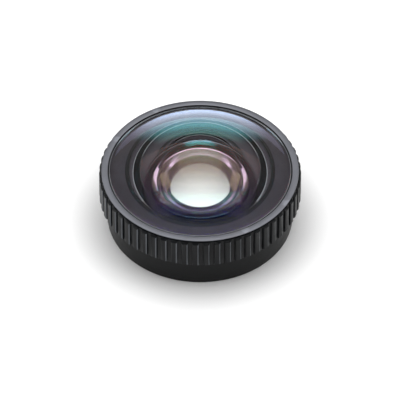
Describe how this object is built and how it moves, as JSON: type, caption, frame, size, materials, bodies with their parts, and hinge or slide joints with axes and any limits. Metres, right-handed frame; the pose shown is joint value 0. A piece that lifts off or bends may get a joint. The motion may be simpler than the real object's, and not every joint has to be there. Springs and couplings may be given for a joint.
{
  "type": "wide-angle conversion lens",
  "caption": "Round wide-angle conversion lens with a domed coated front glass, a ribbed grip barrel and a twist-on rear ring for a small camera.",
  "frame": {"origin": "middle of the rear resting face, on the optical axis", "axes": "+Z along the optical axis, out of the front glass; -Y is the side that faces the viewer; the part stands on its rear ring"},
  "size_m": [0.04, 0.04, 0.0193],
  "materials": {
    "rim_anodised": "bead-blasted slate-grey anodised",
    "grip_anodised": "milled dark grey anodised",
    "black_anodised": "satin black anodised",
    "optical_black": "flat black anti-glare",
    "front_glass": "polished, multi-coated",
    "inner_glass": "polished, multi-coated",
    "black_film": "blackened film",
    "clear_washer": "natural nylon",
    "seal_rubber": "moulded black",
    "bayonet_steel": "turned and polished",
    "spring_steel": "rolled sheet",
    "shim_brass": "rolled sheet"
  },
  "bodies": {
    "root": {"front_rim_ring": "rim_anodised", "front_gasket": "seal_rubber", "front_element": "front_glass", "front_baffle": "black_film", "grip_barrel": "grip_anodised", "base_ring": "black_anodised", "base_seal": "seal_rubber", "focus_shim": "shim_brass", "lens_cell": "optical_black", "cell_seal": "seal_rubber", "cone_baffle": "optical_black", "second_element": "inner_glass", "mid_spacer": "optical_black", "aperture_disc": "black_film", "doublet_front": "inner_glass", "doublet_rear": "inner_glass", "rear_shim": "clear_washer", "rear_retaining_ring": "optical_black", "bayonet_ring": "bayonet_steel", "bayonet_spring": "spring_steel", "bayonet_screws": "bayonet_steel", "stop_pin": "bayonet_steel", "mount_gasket": "seal_rubber"}
  },
  "joints": []
}
